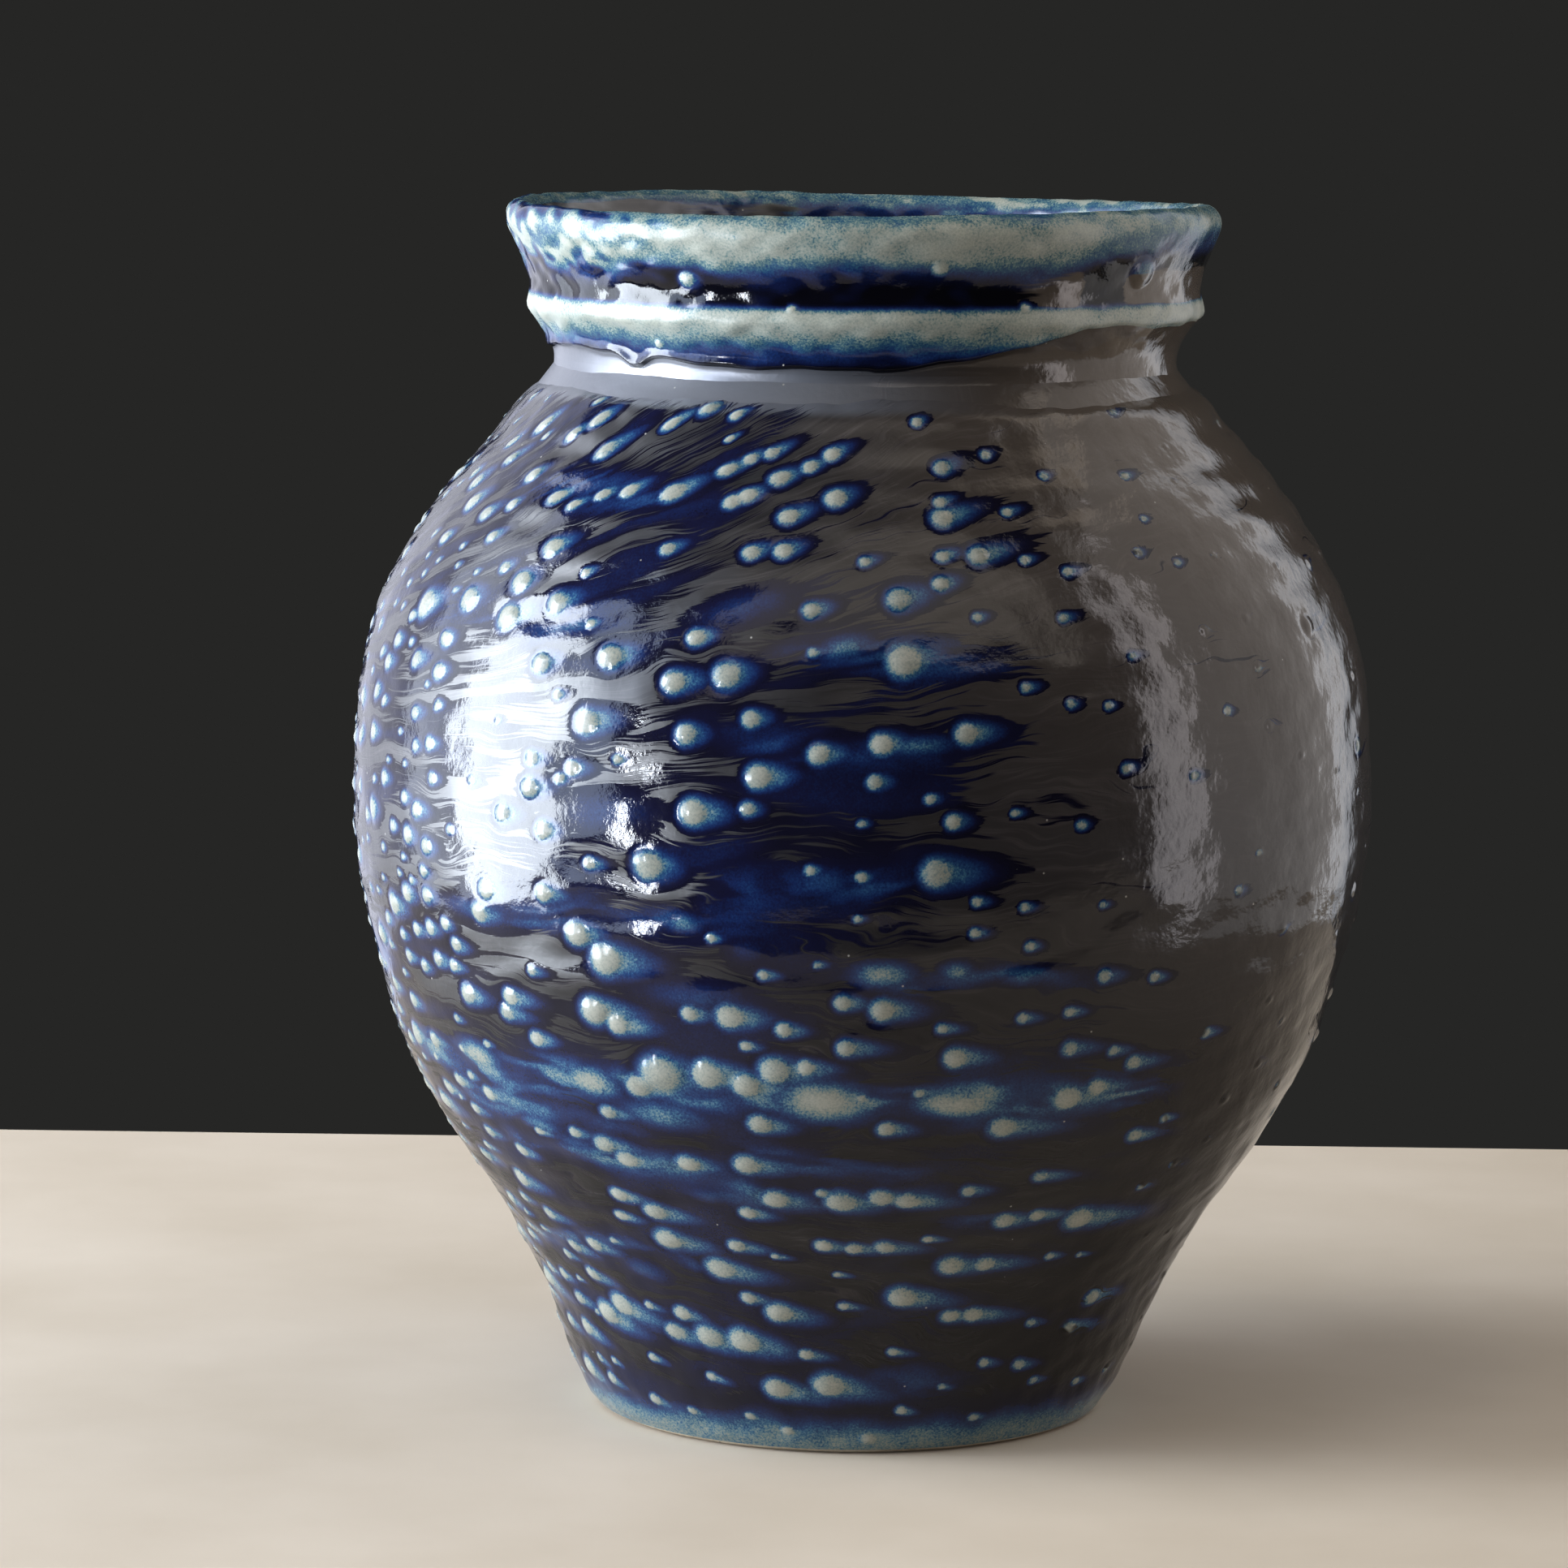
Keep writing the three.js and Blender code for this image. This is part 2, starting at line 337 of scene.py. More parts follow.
def scattered_drops(seed):
    """Seeded drops for the rest of the pot: points thrown evenly, kept with a chance that falls away from
    the windward side, and only clear of those already kept."""
    rng = np.random.default_rng(seed)
    kept = [(a, z) for a, z, _ in DROPS_SHOULDER + DROPS_BELLY + DROPS_FLANK]
    found = []
    for _ in range(7000):
        azimuth, height = rng.uniform(-180, 180), rng.uniform(6, 186)
        chance, draw, size = rng.uniform(0, 1), rng.uniform(0, 1), 1.3 + 3.4 * rng.uniform(0, 1) ** 1.6
        wind = math.cos(math.radians(azimuth) - WINDWARD)
        seen = -52 < azimuth < 62
        wanted = 0.10 if seen else 0.1 + 0.9 * float(ease(-0.55, 0.5, wind))
        size = min(size, 1.9) if seen else size
        near_edge = -98 < azimuth < -52
        spacing = 1.8 + 0.8 * size + 1.5 * draw if near_edge else 3.0 + 0.9 * size + 3.5 * draw
        others = np.array(kept)
        radius = np.interp(arc_of_height(height), WALL[:, 0], WALL[:, 1])
        aside = np.radians((others[:, 0] - azimuth + 180) % 360 - 180) * radius
        if chance < wanted and np.hypot(aside, others[:, 1] - height).min() > spacing:
            kept.append((azimuth, height))
            found.append(drop_shape(azimuth, height, size, rng))
    return found


# ------------ the outer coat, foot to neck

COLUMNS = 1000
BANDS = ("foot_flank", "flank", "lower_belly", "upper_belly", "shoulder")
BAND_ROWS = 90


def body_skin():
    """The outer coat's fields: parted streaks, drops and puddles over finger marks."""
    skin = Skin(np.linspace(0, NECK_ARC, len(BANDS) * BAND_ROWS + 1), COLUMNS, streamline)
    rng = np.random.default_rng(4)
    skin.stream = skin.stream + 1.3 * swells(skin.arc, skin.azimuth, 26, 22, 30, 1.8)
    skin.stream += 0.42 * swells(skin.arc, skin.azimuth, 9, 23, 40, 1.8)
    patches = swells(skin.stream, skin.azimuth, 17, 21, 30, 3.6)
    degrees = np.degrees(unwrap(skin.azimuth))
    low = ease(104, 62, skin.height)
    high = ease(135, 168, skin.height)
    windy = ease(46 - 22 * high, -8 - 24 * high, degrees) * ease(-178, -120, degrees)
    skin.clear += 0.07 + 0.44 * windy + 0.12 * low * (1 - windy)
    skin.clear += 0.16 * patches * np.maximum(0.25 + 0.75 * windy, 0.6 * low)
    skin.tone += 0.12 * windy * ease(-0.4, 1.7, patches)
    broken = 0.65 + 0.35 * np.tanh(1.4 * swells(skin.stream, skin.azimuth, 9, 24, 30, 3.4))
    for height, width, first, last, strength in RING_BANDS:
        line = skin.height + 0.9 * swells(skin.arc, skin.azimuth, 30, int(height), 12, 2)
        profile = np.exp(-(((line - height) / (0.5 * width)) ** 2)) * ease(first - 6, first + 6, degrees)
        profile *= ease(last + 8, last - 8, degrees)
        skin.tone += 1.2 * strength * profile * broken
        skin.clear += 0.75 * profile
    for azimuth, height, length, width, pale in PUDDLES:
        skin.puddle(arc_of_height(height), math.radians(azimuth), length, width, pale)
    for azimuth, height, length in DROPS_SHOULDER + DROPS_BELLY + DROPS_FLANK:
        skin.drop(*drop_shape(azimuth, height, length, rng))
    for shape in scattered_drops(5):
        skin.drop(*shape)
    foot = skin.height + 0.5 * swells(skin.arc, skin.azimuth, 14, 31, 24, 1.6)
    band = 0.60 * ease(10, 2.6, foot)
    skin.tone = np.maximum(skin.tone, band)
    skin.clear = np.maximum(skin.clear, ease(13, 9, foot))
    neck = ease(185, 188.5, skin.height)
    skin.clear *= 1 - neck
    skin.tone *= 1 - neck
    # Painted reflection: a silver-grey sheen painted on the neck band on the side towards the window lamp.
    skin.painted_sheen += ease(184.6, 186.5, skin.height) * ease(28, -16, degrees) * ease(-176, -120, degrees)
    skin.lift *= 1 - 0.8 * ease(188, 191.5, skin.height)
    edges = ease(0, 2.5, skin.arc) * ease(NECK_ARC, NECK_ARC - 3, skin.arc)
    skin.lift = (skin.lift + relief_of_throwing(skin) * edges) * ease(0, 1, skin.arc)
    skin.stream = skin.stream + skin.parted
    return skin


# ------------ the collar and the inside

COLLAR_COLUMNS = 720
COLLAR_ROWS = 118
# Azimuth, height, length and paleness of the few drops on the collar.
DROPS_COLLAR = [
    (12, 211, 3, 0.95), (52, 209, 6, 0.5), (-50, 212, 4, 0.8), (-30, 208.5, 3, 0.8), (-12, 203.5, 1.6, 1),
    (27, 203.6, 1.8, 1), (-64, 203, 2, 1), (-38, 196.6, 2, 0.9), (100, 210, 4, 0.8), (-120, 207, 4, 0.8),
    (160, 209, 5, 0.8),
]


def glaze_edge(azimuth):
    """Height of the collar glaze's lower rolled edge: low in front, and drawn up towards the lee side until
    it lies under the bead, with a few slow runs."""
    degrees = np.degrees(unwrap(azimuth))
    base = np.interp(degrees, [-180, -120, -75, -45, -12, 2, 20, 40, 90, 150, 180],
                     [193.5, 193, 194.6, 194.2, 192.3, 192.4, 195.2, 199.6, 199.8, 197, 193.5])
    runs = 0.55 * np.cos(7 * azimuth + 1) + 0.35 * np.cos(13 * azimuth + 2) + 0.25 * np.cos(29 * azimuth)
    drip = 2.2 * np.exp(-(((degrees + 45) / 3.2) ** 2))
    return base + runs * 0.6 - drip


def collar_skin():
    """The collar coat's fields: pale and thin on the bead and the roll, dark where it pools in the groove
    and above its rolled lower edge, bare brown skin under that edge."""
    skin = Skin(np.linspace(NECK_ARC, LIP_ARC, COLLAR_ROWS + 1), COLLAR_COLUMNS, level_line)
    height, degrees = skin.height, np.degrees(unwrap(skin.azimuth))
    outer = skin.arc < CREST_ARC
    mottle = swells(skin.arc, skin.azimuth, 7, 41, 40, 2.2)
    coarse = swells(skin.arc, skin.azimuth, 22, 42, 24, 2.0)
    edge = glaze_edge(skin.azimuth)
    above = height - edge
    bead = np.exp(-(((height - 201.6) / 1.15) ** 2))
    groove = ease(202.4, 204.6, height) * ease(213.2, 206.2, height + 0.5 * coarse)
    roll = ease(206.6, 210.5, height)
    tone = 0.83 + 0.03 * mottle + 0.04 * coarse
    slanted = swells(skin.arc + 9 * skin.azimuth, skin.azimuth, 5.5, 43, 30, 2.6)
    tone -= roll * 0.09 * ease(-0.2, 1.8, slanted + 0.5 * coarse)
    tone -= 0.36 * ease(-22, -56, degrees) * roll * ease(-1.0, 1.0, slanted)
    tone -= 0.16 * ease(214.5, 210.5, height) * roll
    tone -= 0.26 * ease(216.8, 219.6, height)
    under = ease(201.6, 193.6, height)
    tone -= under * (0.66 + 0.18 * ease(1.8, 0.3, above))
    tone = np.where(height < 202, np.maximum(tone, 0.76 * bead), tone)
    lee = ease(12, 42, degrees) * ease(175, 120, degrees)
    tone -= groove * (0.84 + 0.05 * coarse)
    tone -= 0.45 * ease(22, 60, degrees) * ease(150, 100, degrees) * ease(219.4, 214, height) * roll
    facing = 0.5 + 0.5 * np.cos(skin.azimuth - math.radians(130))
    inner = 0.52 - 0.36 * ease(219.6, 216.0, height) + 0.30 * facing * ease(0.1, 1.6, slanted)
    skin.tone = np.clip(np.where(outer, tone, inner), 0, 1)
    brown = lee * groove * ease(-0.6, 0.6, coarse + 0.4)
    inner_clear = 0.12 + 0.75 * facing + 0.12 * coarse + 0.6 * ease(217.5, 219.2, height)
    skin.clear = np.where(outer, ease(-0.25, 0.25, above) * (1 - brown), inner_clear)
    # Painted reflection: the same silver-grey sheen painted just under the bead on the side towards the
    # window lamp.
    skin.painted_sheen = skin.painted_sheen + ease(203, 200, height) * ease(22, -16, degrees) * ease(-176, -120, degrees)
    ridge = 0.62 * np.exp(-(((above - 0.75) / 0.85) ** 2)) + 0.3 * ease(0, 0.6, above) * ease(4.5, 1, above)
    skin.lift = np.where(outer & (height < 204), ridge * (1 - 0.75 * ease(20, 45, degrees)), 0)
    skin.lift = skin.lift + (0.06 + 0.05 * ease(10, -20, degrees)) * mottle * ease(193, 197, height)
    for azimuth, z, length, pale in DROPS_COLLAR:
        skin.drop(arc_of_height(z), math.radians(azimuth), length, length * 0.9, 0.12 * length, pale, 1.0)
    skin.lift = skin.lift * ease(NECK_ARC, NECK_ARC + 1, skin.arc) * ease(LIP_ARC, LIP_ARC - 2, skin.arc)
    return skin


LINER_ROWS = 130
LINER_COLUMNS = 560


def liner_skin():
    """The inside coat's fields: brown skin, turning to runny blue with pale drops on the side that faced the
    wind, over finger marks. Rows are closer near the lip, where they are seen."""
    steps = np.linspace(0, 1, LINER_ROWS + 1)
    arc = LIP_ARC + (FLOOR_ARC - LIP_ARC) * (0.45 * steps + 0.55 * steps**2)
    skin = Skin(arc, LINER_COLUMNS, level_line)
    degrees = np.degrees(unwrap(skin.azimuth))
    rng = np.random.default_rng(8)
    axis_side = ease(8, 26, skin.radius)
    skin.stream = skin.stream + 1.5 * swells(skin.arc, skin.azimuth, 24, 52, 30, 1.6) * axis_side
    patches = swells(skin.arc, skin.azimuth, 15, 51, 30, 1.8) * axis_side
    facing = 0.5 + 0.5 * np.cos(np.radians(degrees - 130))
    depth = ease(LIP_ARC + 60, LIP_ARC + 10, skin.arc)
    skin.clear += 0.12 + 0.62 * facing * (0.55 + 0.45 * depth) + 0.17 * patches
    skin.tone += 0.30 * facing * ease(-0.2, 1.8, patches)
    for _ in range(260):
        azimuth, up, size = rng.normal(115, 75), rng.uniform(0, 1) ** 1.5, rng.uniform(1.6, 5)
        skin.drop(LIP_ARC + 3 + up * 190, math.radians(azimuth), size, size * 0.8, 0.09 * size, 0.9, 1.2)
    lip = ease(LIP_ARC + 5, LIP_ARC, skin.arc)
    skin.tone = np.maximum(skin.tone, 0.3 * lip * facing)
    marks = relief_of_throwing(skin) * ease(0, 40, skin.radius)
    skin.lift = (skin.lift + marks) * ease(LIP_ARC, LIP_ARC + 2, skin.arc) * ease(3, 30, skin.radius)
    return skin


# ------------ meshes

# The pot is not quite true: how far its axis strays to the right at each height, in mm.
AXIS_HEIGHTS = [0, 20, 39, 63, 86, 110, 139, 175, 192, 220]
AXIS_STRAY = [-1.0, -0.6, -0.2, 0.5, 0.0, 0.2, 0.5, 0.2, 0.0, -0.6]
stray = np.polynomial.Polynomial.fit(AXIS_HEIGHTS, AXIS_STRAY, 5)
RIM_WARP = 0.55


def placed(radius, height, azimuth):
    """Points in metres from radius, height and azimuth, shifted by the stray of the axis, with the rim bent
    into a slight saddle: a cosine of twice the azimuth that grows over the collar."""
    saddle = RIM_WARP * np.cos(2 * (azimuth - math.radians(60))) * ease(192, 220, height) - 0.35 * ease(
        192, 220, height)
    x = radius * np.sin(azimuth) + stray(height) * ease(0, 30, radius)
    y = -radius * np.cos(azimuth) + 0 * height
    return np.stack(np.broadcast_arrays(x, y, height + saddle), axis=-1) * MM


def surface(arc, azimuth, lift, depth=0.0):
    """The wall moved out along its own normal by the relief, and in by a depth."""
    radius, height, out, up = [part[:, None] for part in wall_at(arc)]
    outward = lift - depth
    return placed(np.maximum(radius + outward * out, 0), height + outward * up, azimuth)


def surface_normals(points):
    """Unit normals of a grid of points, from the cross product of its differences round and up."""
    wrapped = np.concatenate([points[:, -1:], points, points[:, :1]], axis=1)
    around = wrapped[:, 2:] - wrapped[:, :-2]
    upward = np.gradient(points, axis=0)
    normal = np.cross(around, upward)
    return normal / np.maximum(np.linalg.norm(normal, axis=-1, keepdims=True), 1e-12)


def grid_faces(rows, columns, looped):
    """Quads of a grid that always closes round the pot, and from its last row to its first if looped."""
    last = rows if looped else rows - 1
    low = np.arange(last)[:, None] * columns
    high = (np.arange(1, last + 1)[:, None] % rows) * columns
    left, right = np.arange(columns)[None, :], (np.arange(columns)[None, :] + 1) % columns
    return np.stack([low + left, low + right, high + right, high + left], axis=-1).reshape(-1, 4)


def make_piece(name, points, fields, normals, looped, material, nodes):
    """A closed piece from a grid of points: looped grids close on themselves, and the others end in a point
    on the axis at each end. Faces are turned outwards by the sign of the volume they enclose."""
    rows, columns = points.shape[:2]
    quads = grid_faces(rows, columns, looped)
    vertices = points.reshape(-1, 3)
    corners, sizes = quads.reshape(-1), np.full(len(quads), 4)
    if not looped:
        poles = np.array([points[0].mean(axis=0), points[-1].mean(axis=0)])
        vertices = np.concatenate([vertices, poles])
        around = np.arange(columns)
        beyond = (around + 1) % columns
        first = np.stack([beyond, around, np.full(columns, rows * columns)], axis=1)
        end = (rows - 1) * columns
        last = np.stack([end + around, end + beyond, np.full(columns, rows * columns + 1)], axis=1)
        corners = np.concatenate([corners, first.reshape(-1), last.reshape(-1)])
        sizes = np.concatenate([sizes, np.full(2 * columns, 3)])
    a, b, c, d = [vertices[quads[:, k]] for k in range(4)]
    volume = (np.cross(a, b) * c).sum() + (np.cross(a, c) * d).sum()
    starts = np.append(0, np.cumsum(sizes)[:-1])
    if volume < 0:
        order = np.repeat(starts + sizes - 1, sizes) - (np.arange(len(corners)) - np.repeat(starts, sizes))
        corners = corners[order]
    mesh = bpy.data.meshes.new(name)
    mesh.vertices.add(len(vertices))
    mesh.vertices.foreach_set("co", vertices.reshape(-1).astype(np.float32))
    mesh.loops.add(len(corners))
    mesh.loops.foreach_set("vertex_index", corners.astype(np.int32))
    mesh.polygons.add(len(sizes))
    mesh.polygons.foreach_set("loop_start", starts.astype(np.int32))
    mesh.polygons.foreach_set("use_smooth", np.ones(len(sizes), bool))
    for field, values in fields.items():
        vector = values.ndim == 3
        attribute = mesh.attributes.new(field, "FLOAT_VECTOR" if vector else "FLOAT", "POINT")
        flat = values.reshape(-1, 3) if vector else values.reshape(-1)
        spare = np.zeros((len(vertices) - len(flat),) + flat.shape[1:])
        data = np.concatenate([flat, spare]).reshape(-1).astype(np.float32)
        attribute.data.foreach_set("vector" if vector else "value", data)
    mesh.update()
    mesh.validate()
    if normals is not None:
        spare = np.zeros((len(vertices) - rows * columns, 3))
        mesh.normals_split_custom_set_from_vertices(np.concatenate([normals.reshape(-1, 3), spare]))
    mesh.materials.append(material)
    piece = bpy.data.objects.new(name, mesh)
    bpy.context.scene.collection.objects.link(piece)
    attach(piece, "root")
    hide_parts(*nodes)
    return piece


def coat_piece(name, skin, thickness, back_rows, rows, looped, material, nodes):
    """One coat, or one band of it, between two rows: the outer face from its fields, then a plain back face
    sunk by the thickness, joined at both ends."""
    arc = skin.arc[rows, 0]
    outer = surface(skin.arc[:, 0], skin.azimuth, skin.lift)
    normals = surface_normals(outer)[rows]
    back_arc = np.linspace(arc[-1], arc[0], back_rows)
    back = surface(back_arc, skin.azimuth, 0.0, thickness)
    back_normals = -surface_normals(surface(back_arc[::-1], skin.azimuth, 0.0, thickness))[::-1]
    points = np.concatenate([outer[rows], back])
    fields = {"tone": skin.tone, "clear": skin.clear, "painted_sheen": skin.painted_sheen, "hairy": skin.hairy,
              "flow": np.stack([skin.along, skin.stream, skin.side], axis=-1)}
    for field, values in fields.items():
        rear = np.repeat(values[rows][-1:], back_rows, axis=0)
        fields[field] = np.concatenate([values[rows], rear])
    return make_piece(name, points, fields, np.concatenate([normals, back_normals]), looped, material,
                      nodes)


# ------------ materials


def colour(code):
    """A linear RGBA colour from an sRGB hex code."""
    parts = [int(code[k:k + 2], 16) / 255 for k in (1, 3, 5)]
    return [p / 12.92 if p <= 0.04045 else ((p + 0.055) / 1.055) ** 2.4 for p in parts] + [1]


def add(tree, kind, sockets=None, stops=None, **settings):
    """Adds a shader node with its settings, colour stops, and socket values or links."""
    node = tree.nodes.new("ShaderNode" + kind)
    for key, value in settings.items():
        setattr(node, key, value)
    for place, (position, code) in enumerate(stops or ()):
        ramp = node.color_ramp.elements
        stop = ramp[place] if place < 2 else ramp.new(position)
        stop.position = position
        stop.color = colour(code)
    for key, value in (sockets or {}).items():
        if isinstance(value, bpy.types.NodeSocket):
            tree.links.new(value, node.inputs[key])
        else:
            node.inputs[key].default_value = value
    return node


def empty_material(name):
    """A new material with only its output node, and its node tree."""
    material = bpy.data.materials.new(name)
    material.use_nodes = True
    material.node_tree.nodes.clear()
    return material, material.node_tree


# How each pattern of streaks is drawn out: one over its length along the flow and one over its spacing
# across it, both in mm, and how far it shifts from one side of the pot to the other.
HAIRS = (1 / 24, 1 / 1.3, 2.0)
LOCKS = (1 / 45, 1 / 4.5, 1.3)
FINE_HAIRS = (1 / 9, 1 / 0.55, 3.0)
# Skin on the lee side, where no hairs cut it: its own warm brown-grey, with painted light by height. Painted
# shade makes it near black at the foot, and painted light makes it warm grey on the shoulder.
LEE_SKIN_PAINTED_LIGHT = [(0.0, "#161517"), (0.22, "#232122"), (0.5, "#434040"), (1.0, "#5e554c")]
# Painted reflection: the silver-grey painted into the neck's skin where it mirrors the window.
PAINTED_SHEEN_SKIN = "#595b62"
SALT_PIP = "#8f8d88"


def runny_glaze(name, stops, skin_stops, grain_mm, glass_rough, skin_rough, crystal_rough, streaky=1.0):
    """A salt-fired runny glaze. Clear glass, deep blue where thick and pale where it holds zinc crystals, is
    broken by a thin matt metallic skin drawn out in hairs along the flow. The piece's attributes say how
    pale and how clear the glass is; noise on its flow coordinates cuts the hairs, 1.3 mm apart and 24 mm
    long, and noise on Object coordinates gives the crystal grain. The salted surface is faintly etched, so
    its specular level is below clean glass."""
    material, tree = empty_material(name)
    tone, clear, painted_sheen, hairy = [add(tree, "Attribute", attribute_name=field).outputs["Fac"]
                                  for field in ("tone", "clear", "painted_sheen", "hairy")]
    flow = add(tree, "Attribute", attribute_name="flow").outputs["Vector"]
    place = add(tree, "TexCoord").outputs["Object"]

    streaks = []
    for pattern, detail, roughness, twist in ((HAIRS, 3.0, 0.6, 0.15), (LOCKS, 2.0, 0.5, 0.0),
                                              (FINE_HAIRS, 2.0, 0.5, 0.0)):
        drawn = add(tree, "VectorMath", {0: flow, 1: pattern}, operation="MULTIPLY").outputs[0]
        streaks.append(add(tree, "TexNoise", {"Vector": drawn, "Scale": 1.0, "Detail": detail,
                                              "Roughness": roughness, "Distortion": twist}).outputs["Fac"])
    hair, lock, fine = streaks
    grain = add(tree, "TexNoise", {"Vector": place, "Scale": 1 / (grain_mm * MM), "Detail": 2.5,
                                   "Roughness": 0.65}).outputs["Fac"]
    blotch = add(tree, "TexNoise", {"Vector": place, "Scale": 1 / (3.4 * MM), "Detail": 2.0}).outputs["Fac"]

    # Where the glass is clear: its field, raised or lowered by the locks and hairs of the skin.
    cover = clear
    for noise, share in ((hair, 1.5), (lock, 0.9), (fine, 0.6)):
        centred = add(tree, "Math", {0: noise, 1: 0.5}, operation="SUBTRACT").outputs[0]
        if noise is not lock:
            centred = add(tree, "Math", {0: centred, 1: hairy}, operation="MULTIPLY").outputs[0]
        cover = add(tree, "Math", {0: centred, 1: share * streaky, 2: cover},
                    operation="MULTIPLY_ADD").outputs[0]
    glass = add(tree, "MapRange", {"Value": cover, "From Min": 0.43, "From Max": 0.59},
                interpolation_type="SMOOTHSTEP").outputs[0]

    # How pale the glass is: its field, broken up by crystal grain and slow blotches where it is not black.
    speckle = add(tree, "Math", {0: grain, 1: 0.9, 2: -0.45}, operation="MULTIPLY_ADD").outputs[0]
    speckle = add(tree, "Math", {0: blotch, 1: 0.35, 2: speckle}, operation="MULTIPLY_ADD").outputs[0]
    speckle = add(tree, "Math", {0: speckle, 1: 0.175}, operation="SUBTRACT").outputs[0]
    weight = add(tree, "Math", {0: tone, 1: 1.6}, operation="MULTIPLY", use_clamp=True).outputs[0]
    paleness = add(tree, "Math", {0: speckle, 1: weight, 2: tone}, operation="MULTIPLY_ADD").outputs[0]
    glass_colour = add(tree, "ValToRGB", {"Fac": paleness}, stops).outputs["Color"]

    # The skin: dark with paler hairs on the windy side; smooth on the lee, where painted light makes it paler
    # with height.
    skin_mix = add(tree, "Math", {0: fine, 1: 0.5, 2: hair}, operation="MULTIPLY_ADD").outputs[0]
    skin_mix = add(tree, "MapRange", {"Value": skin_mix, "From Min": 0.55, "From Max": 0.98}).outputs[0]
    skin_colour = add(tree, "ValToRGB", {"Fac": skin_mix}, skin_stops).outputs["Color"]
    run = add(tree, "SeparateXYZ", {0: flow}).outputs[0]
    lee = add(tree, "MapRange", {"Value": run, "From Min": 146, "From Max": 236, "To Max": 0.85}).outputs[0]
    rise = add(tree, "SeparateXYZ", {0: place}).outputs[2]
    # Painted light and shade: the lee skin's colour runs from painted dark at 40 mm up to painted light at
    # 190 mm.
    climb = add(tree, "MapRange", {"Value": rise, "From Min": 40 * MM, "From Max": 190 * MM}).outputs[0]
    painted_light_lee_skin = add(tree, "ValToRGB", {"Fac": climb}, LEE_SKIN_PAINTED_LIGHT).outputs["Color"]
    skin_colour = add(tree, "Mix", {0: lee, 6: skin_colour, 7: painted_light_lee_skin}, data_type="RGBA").outputs[2]
    # Painted reflection: the skin is mixed towards a painted silver-grey sheen on the neck, on the window's
    # side.
    skin_colour = add(tree, "Mix", {0: painted_sheen, 6: skin_colour, 7: colour(PAINTED_SHEEN_SKIN)},
                      data_type="RGBA").outputs[2]

    # Tiny white salt pips, one in each 4.6 mm cell and most of them left out.
    cells = add(tree, "TexVoronoi", {"Vector": place, "Scale": 1 / (4.6 * MM)})
    pip = add(tree, "MapRange", {"Value": cells.outputs["Distance"], "From Min": 0.05, "From Max": 0.03})
    chosen = add(tree, "SeparateColor", {"Color": cells.outputs["Color"]}).outputs[0]
    chosen = add(tree, "Math", {0: chosen, 1: 0.62}, operation="GREATER_THAN").outputs[0]
    pip = add(tree, "Math", {0: pip.outputs[0], 1: chosen}, operation="MULTIPLY").outputs[0]

    base = add(tree, "Mix", {0: glass, 6: skin_colour, 7: glass_colour}, data_type="RGBA").outputs[2]
    base = add(tree, "Mix", {0: pip, 6: base, 7: colour(SALT_PIP)}, data_type="RGBA").outputs[2]
    satin = add(tree, "MapRange", {"Value": run, "From Min": 150, "From Max": 215, "To Min": skin_rough,
                                   "To Max": 0.32 * skin_rough}).outputs[0]
    rough = add(tree, "Mix", {0: glass, 2: satin, 3: glass_rough}, data_type="FLOAT").outputs[0]
    rough = add(tree, "Math", {0: fine, 1: 0.05, 2: rough}, operation="MULTIPLY_ADD").outputs[0]
    crystals = add(tree, "Math", {0: paleness, 1: glass}, operation="MULTIPLY").outputs[0]
    rough = add(tree, "Math", {0: crystals, 1: crystal_rough, 2: rough}, operation="MULTIPLY_ADD").outputs[0]
    # The skin is a little metallic, and more so under the painted sheen.
    metal = add(tree, "Math", {0: painted_sheen, 1: 0.22, 2: 0.10}, operation="MULTIPLY_ADD").outputs[0]
    metal = add(tree, "Mix", {0: glass, 2: metal, 3: 0.0}, data_type="FLOAT").outputs[0]

    # Relief too fine for the mesh: hairs stand proud, the glass has a slight orange peel, and the lee skin
    # is rumpled in patches 13 mm across, which tear the edges of what it mirrors.
    peel = add(tree, "TexNoise", {"Vector": place, "Scale": 1 / (2.4 * MM), "Detail": 4.0,
                                  "Roughness": 0.6}).outputs["Fac"]
    ridges = add(tree, "Math", {0: hair, 1: 0.15, 2: peel}, operation="MULTIPLY_ADD").outputs[0]
    ridges = add(tree, "Math", {0: glass, 1: -0.08, 2: ridges}, operation="MULTIPLY_ADD").outputs[0]
    bump = add(tree, "Bump", {"Height": ridges, "Strength": 0.6, "Distance": 0.13 * MM}).outputs[0]
    torn = add(tree, "TexNoise", {"Vector": place, "Scale": 1 / (13 * MM), "Detail": 4.0, "Roughness": 0.5})
    torn = add(tree, "Math", {0: torn.outputs["Fac"], 1: lee}, operation="MULTIPLY").outputs[0]
    bump = add(tree, "Bump", {"Height": torn, "Strength": 0.9, "Distance": 0.75 * MM,
                              "Normal": bump}).outputs[0]

